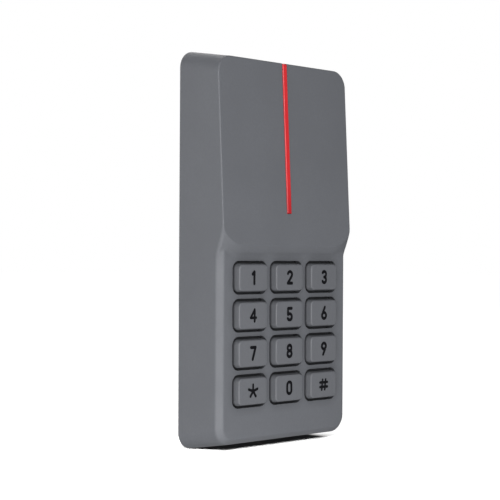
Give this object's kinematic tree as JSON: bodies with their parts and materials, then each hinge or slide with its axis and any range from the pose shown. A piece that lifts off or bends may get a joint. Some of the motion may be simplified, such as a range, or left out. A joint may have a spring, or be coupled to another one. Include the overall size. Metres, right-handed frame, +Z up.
{
  "type": "rfid card reader",
  "caption": "Slim wall-mounted access-control card reader with a raised tilted card area, a red light bar down its middle and a push-button number pad below.",
  "frame": {"origin": "centre of the rear face, where the reader meets the wall", "axes": "+Z up along the reader's height, +X across its width to the viewer's right, +Y into the wall, so the front faces -Y"},
  "size_m": [0.068, 0.0234, 0.145],
  "materials": {
    "casing": "fine moulded texture, dark grey",
    "key": "fine moulded texture, dark grey",
    "legend": "black paint in the engraving",
    "diffuser": "red translucent light guide",
    "cover": "fine moulded texture, black",
    "seal": "matt elastomer",
    "fastener": "zinc plated",
    "plate": "galvanised sheet",
    "silicone": "matt silicone",
    "carbon": "carbon-filled silicone",
    "gold": "gold plated",
    "board": "green solder mask on glass fibre",
    "former": "natural nylon",
    "copper": "enamelled copper wire",
    "chip": "epoxy package",
    "can": "drawn can",
    "relay": "moulded relay case",
    "buzzer": "moulded sounder case",
    "connector": "natural nylon",
    "ferrite": "ferrite core",
    "sensor": "light sensor",
    "led": "surface-mount LED"
  },
  "bodies": {
    "reader": {"front_housing": "casing", "light_bar": "diffuser", "back_cover": "cover", "rear_gasket": "seal", "back_cover_screws": "fastener", "wall_plate": "plate", "plate_nut": "fastener", "security_screw": "fastener", "cable_grommet": "seal", "keypad_membrane": "silicone", "contact_pills": "carbon", "key_contacts": "gold", "main_board": "board", "board_screws": "fastener", "coil_former": "former", "antenna_coil": "copper", "microcontroller": "chip", "reader_chip": "chip", "crystal": "can", "relay": "relay", "buzzer": "buzzer", "wire_connector": "connector", "connector_pins": "gold", "capacitors": "can", "power_inductor": "ferrite", "voltage_regulator": "chip", "surge_diodes": "chip", "tamper_sensor": "sensor", "light_bar_leds": "led"},
    "button_1": {"key_1": "key", "legend_1": "legend"},
    "button_2": {"key_2": "key", "legend_2": "legend"},
    "button_3": {"key_3": "key", "legend_3": "legend"},
    "button_4": {"key_4": "key", "legend_4": "legend"},
    "button_5": {"key_5": "key", "legend_5": "legend"},
    "button_6": {"key_6": "key", "legend_6": "legend"},
    "button_7": {"key_7": "key", "legend_7": "legend"},
    "button_8": {"key_8": "key", "legend_8": "legend"},
    "button_9": {"key_9": "key", "legend_9": "legend"},
    "button_star": {"key_star": "key", "legend_star": "legend"},
    "button_0": {"key_0": "key", "legend_0": "legend"},
    "button_hash": {"key_hash": "key", "legend_hash": "legend"}
  },
  "joints": [
    {"name": "press_1", "type": "slide", "parent": "reader", "child": "button_1", "axis": [0, 1, 0], "range_m": [0, 0.001], "stiffness_N_per_m": 300, "springref_m": -0.002, "deforming": ["keypad_membrane"]},
    {"name": "press_2", "type": "slide", "parent": "reader", "child": "button_2", "axis": [0, 1, 0], "range_m": [0, 0.001], "stiffness_N_per_m": 300, "springref_m": -0.002, "deforming": ["keypad_membrane"]},
    {"name": "press_3", "type": "slide", "parent": "reader", "child": "button_3", "axis": [0, 1, 0], "range_m": [0, 0.001], "stiffness_N_per_m": 300, "springref_m": -0.002, "deforming": ["keypad_membrane"]},
    {"name": "press_4", "type": "slide", "parent": "reader", "child": "button_4", "axis": [0, 1, 0], "range_m": [0, 0.001], "stiffness_N_per_m": 300, "springref_m": -0.002, "deforming": ["keypad_membrane"]},
    {"name": "press_5", "type": "slide", "parent": "reader", "child": "button_5", "axis": [0, 1, 0], "range_m": [0, 0.001], "stiffness_N_per_m": 300, "springref_m": -0.002, "deforming": ["keypad_membrane"]},
    {"name": "press_6", "type": "slide", "parent": "reader", "child": "button_6", "axis": [0, 1, 0], "range_m": [0, 0.001], "stiffness_N_per_m": 300, "springref_m": -0.002, "deforming": ["keypad_membrane"]},
    {"name": "press_7", "type": "slide", "parent": "reader", "child": "button_7", "axis": [0, 1, 0], "range_m": [0, 0.001], "stiffness_N_per_m": 300, "springref_m": -0.002, "deforming": ["keypad_membrane"]},
    {"name": "press_8", "type": "slide", "parent": "reader", "child": "button_8", "axis": [0, 1, 0], "range_m": [0, 0.001], "stiffness_N_per_m": 300, "springref_m": -0.002, "deforming": ["keypad_membrane"]},
    {"name": "press_9", "type": "slide", "parent": "reader", "child": "button_9", "axis": [0, 1, 0], "range_m": [0, 0.001], "stiffness_N_per_m": 300, "springref_m": -0.002, "deforming": ["keypad_membrane"]},
    {"name": "press_star", "type": "slide", "parent": "reader", "child": "button_star", "axis": [0, 1, 0], "range_m": [0, 0.001], "stiffness_N_per_m": 300, "springref_m": -0.002, "deforming": ["keypad_membrane"]},
    {"name": "press_0", "type": "slide", "parent": "reader", "child": "button_0", "axis": [0, 1, 0], "range_m": [0, 0.001], "stiffness_N_per_m": 300, "springref_m": -0.002, "deforming": ["keypad_membrane"]},
    {"name": "press_hash", "type": "slide", "parent": "reader", "child": "button_hash", "axis": [0, 1, 0], "range_m": [0, 0.001], "stiffness_N_per_m": 300, "springref_m": -0.002, "deforming": ["keypad_membrane"]}
  ]
}
